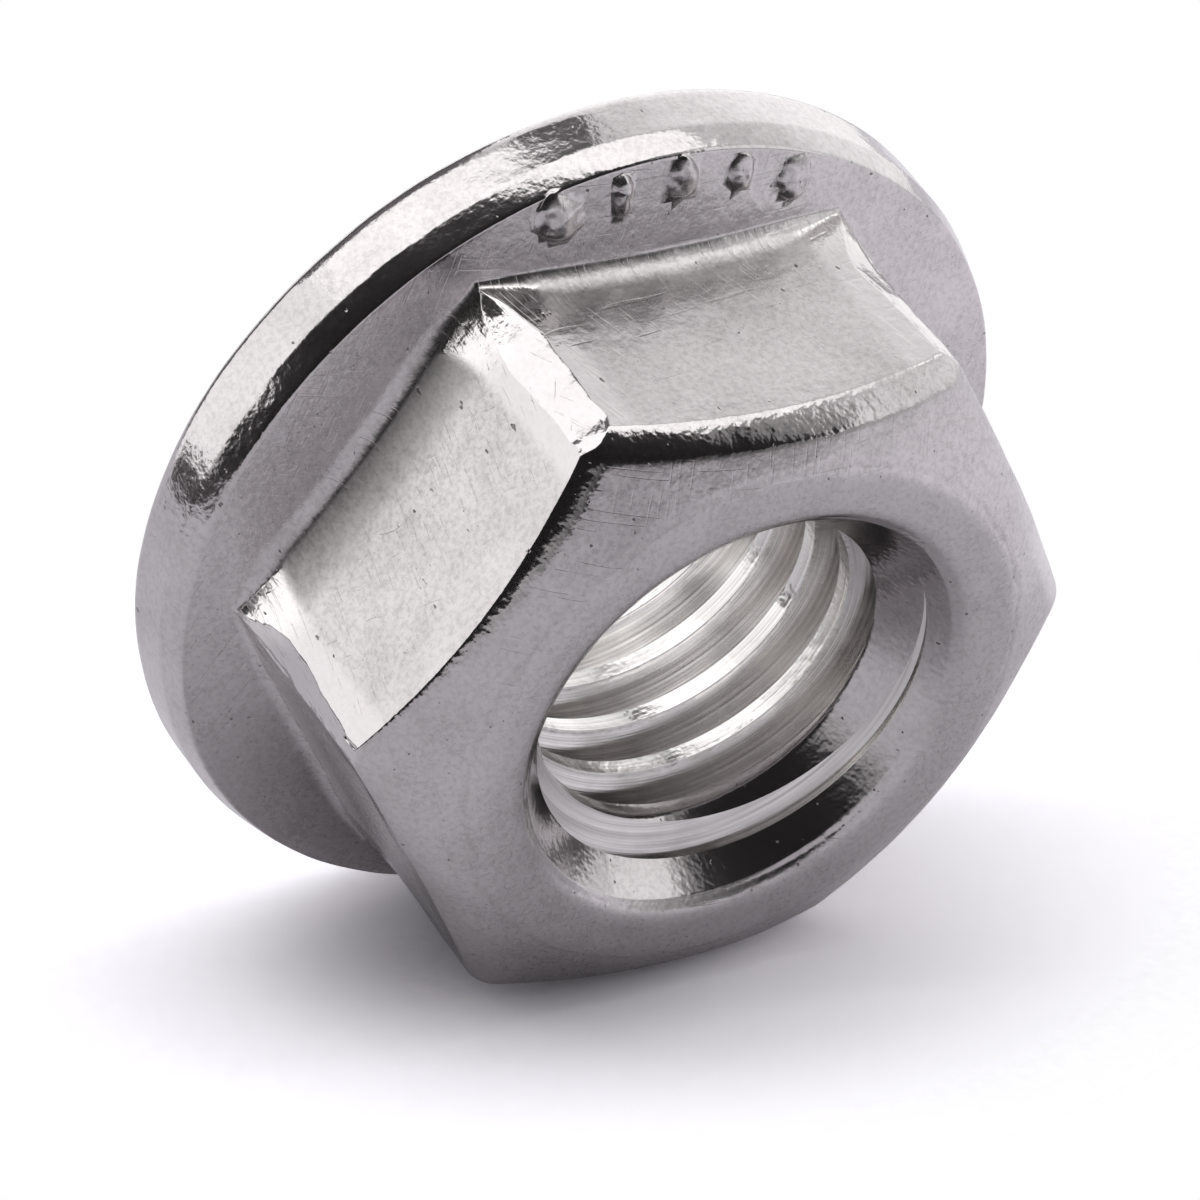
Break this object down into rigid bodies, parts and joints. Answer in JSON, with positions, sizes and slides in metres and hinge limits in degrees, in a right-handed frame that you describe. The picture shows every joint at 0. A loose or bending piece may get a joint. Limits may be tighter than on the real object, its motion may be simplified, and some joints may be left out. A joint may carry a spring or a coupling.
{
  "type": "hex flange nut",
  "caption": "Hexagon nut forged in one piece with a conical washer flange, a chamfered crown and a countersunk threaded bore; the flange spreads the clamping load.",
  "frame": {"origin": "centre of the flat bearing face under the flange, where the nut sits on what it clamps", "axes": "+Z along the thread axis, from the bearing face towards the crown; +X through a corner of the hexagon"},
  "size_m": [0.0172, 0.0172, 0.0077],
  "materials": {
    "stainless": "cold-forged stainless steel: satin flats with fine pits and rub marks, bright cut thread"
  },
  "bodies": {
    "root": {"flange_nut": "stainless"}
  },
  "joints": []
}
